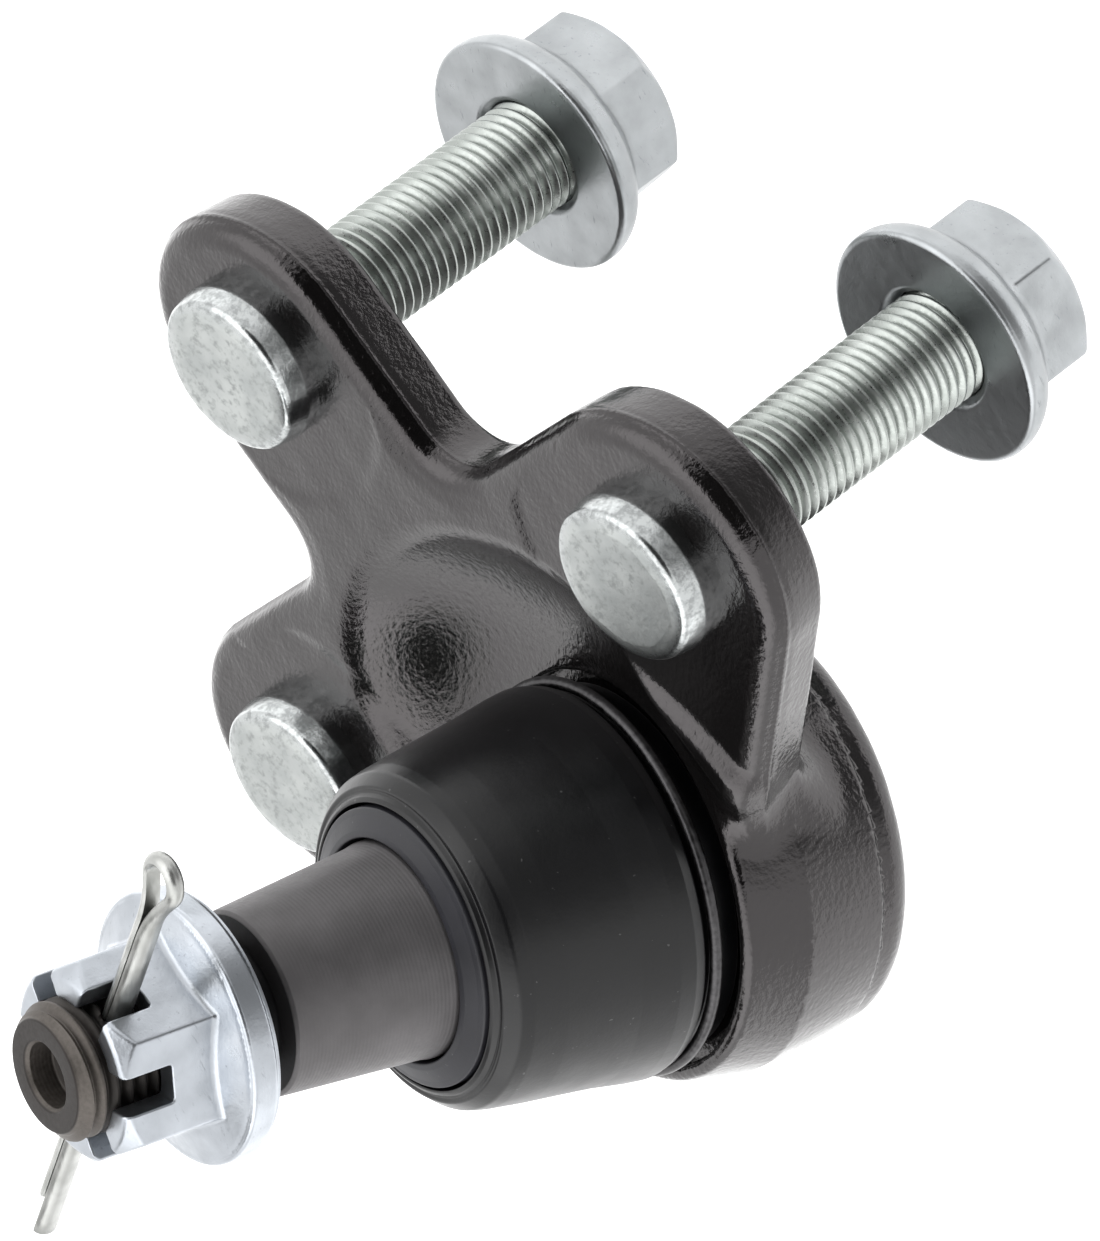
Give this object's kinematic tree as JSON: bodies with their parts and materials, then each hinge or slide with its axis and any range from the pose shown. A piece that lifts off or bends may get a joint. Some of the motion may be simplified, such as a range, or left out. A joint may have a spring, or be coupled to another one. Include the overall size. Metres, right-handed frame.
{
  "type": "suspension ball joint",
  "caption": "Ball joint with a tilted tapered stud, rubber boot and a forged three-lobe plate with rearward mounting studs and flange nuts.",
  "frame": {"origin": "midway between the two outer stud bolts, on the plate's mounting face", "axes": "+Z to the side of the bolt heads and the ball stud, +X along the line of the two outer bolts, +Y from the inner bolt to the ball cup"},
  "size_m": [0.1092, 0.1033, 0.1198],
  "materials": {
    "black_paint": "glossy black stoving paint on a forging",
    "zinc_bolt": "zinc plate with a mottled crystalline face",
    "zinc_nut": "bright blue-white zinc plate",
    "phosphate_steel": "dark phosphate over turned steel",
    "zinc_wire": "zinc-plated wire",
    "boot_rubber": "satin black moulded rubber",
    "spring_wire": "dark spring wire",
    "ring_steel": "turned steel",
    "seat_plastic": "natural bearing plastic",
    "spring_steel": "spring steel"
  },
  "bodies": {
    "housing": {"housing": "black_paint", "upper_ball_seat": "seat_plastic", "lower_ball_seat": "seat_plastic", "preload_spring": "spring_steel", "end_cap": "black_paint", "stud_bolt_inner": "zinc_bolt", "stud_bolt_left": "zinc_bolt", "stud_bolt_right": "zinc_bolt", "boot_retaining_ring": "spring_wire"},
    "boot": {"dust_boot": "boot_rubber"},
    "boot_seal_ring": {"boot_seal_ring": "ring_steel"},
    "stud": {"ball_stud": "phosphate_steel", "castle_nut": "zinc_nut"},
    "cotter_pin": {"cotter_pin": "zinc_wire"},
    "flange_nut_inner": {"flange_nut_inner": "zinc_nut"},
    "flange_nut_left": {"flange_nut_left": "zinc_nut"},
    "flange_nut_right": {"flange_nut_right": "zinc_nut"}
  },
  "joints": [
    {"name": "swing_direction", "type": "hinge", "parent": "housing", "child": "boot", "pos_m": [0, 0.0247, 0.0072], "axis": [0, -0.2689, 0.9632], "continuous": true},
    {"name": "stud_tilt", "type": "hinge", "parent": "boot", "child": "boot_seal_ring", "pos_m": [0, 0.0247, 0.0072], "axis": [1, 0, 0], "range_deg": [-22, 22], "deforming": ["dust_boot"]},
    {"name": "stud_spin", "type": "hinge", "parent": "boot_seal_ring", "child": "stud", "pos_m": [0, 0.0247, 0.0072], "axis": [0, -0.2689, 0.9632], "continuous": true},
    {"name": "cotter_pin_pull", "type": "slide", "parent": "stud", "child": "cotter_pin", "axis": [-0.9063, -0.407, -0.1136], "range_m": [0, 0.042]},
    {"name": "flange_nut_inner_run", "type": "slide", "parent": "housing", "child": "flange_nut_inner", "axis": [0, 0, -1], "range_m": [-0.0308, 0.016]},
    {"name": "flange_nut_left_run", "type": "slide", "parent": "housing", "child": "flange_nut_left", "axis": [0, 0, -1], "range_m": [-0.0324, 0.016]},
    {"name": "flange_nut_right_run", "type": "slide", "parent": "housing", "child": "flange_nut_right", "axis": [0, 0, -1], "range_m": [-0.0316, 0.016]}
  ]
}
